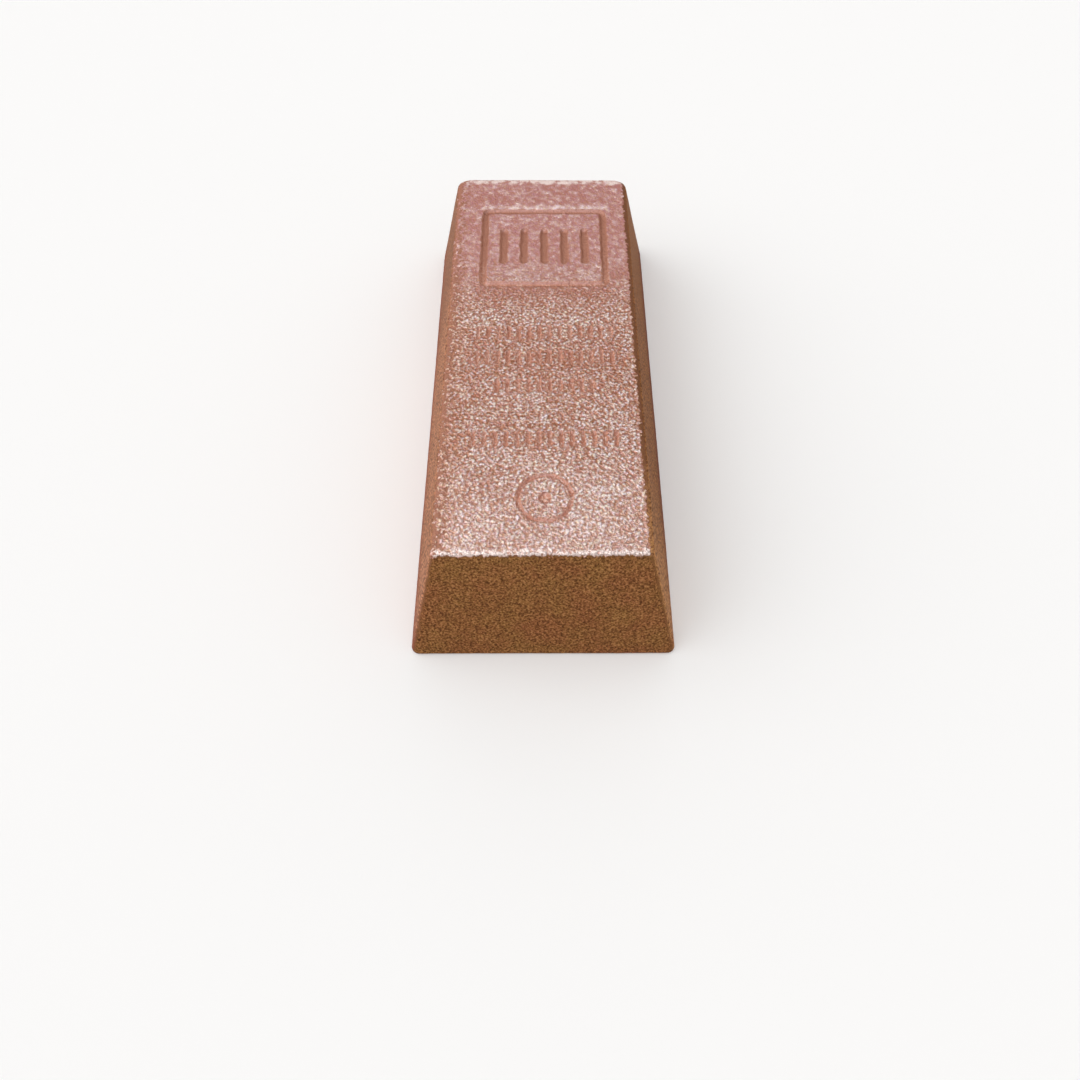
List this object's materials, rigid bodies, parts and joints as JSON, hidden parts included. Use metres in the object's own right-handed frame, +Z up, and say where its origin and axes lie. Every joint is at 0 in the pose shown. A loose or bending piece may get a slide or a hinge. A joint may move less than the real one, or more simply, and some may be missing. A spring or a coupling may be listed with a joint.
{
  "type": "copper ingot",
  "caption": "Small cast copper ingot: a drafted block with rounded edges, and a framed panel, rows of short flutes and a ring sunk in its narrow moulded face.",
  "frame": {"origin": "middle of the wide face that the ingot lies on", "axes": "+Z up, towards the narrow moulded face; +Y along the length, towards the end with the framed panel; +X to the right when looking along +Y"},
  "size_m": [0.038, 0.085, 0.0192],
  "materials": {
    "cast_copper": "sand-cast copper, fine grained and lightly burnished"
  },
  "bodies": {
    "root": {"ingot": "cast_copper"}
  },
  "joints": []
}
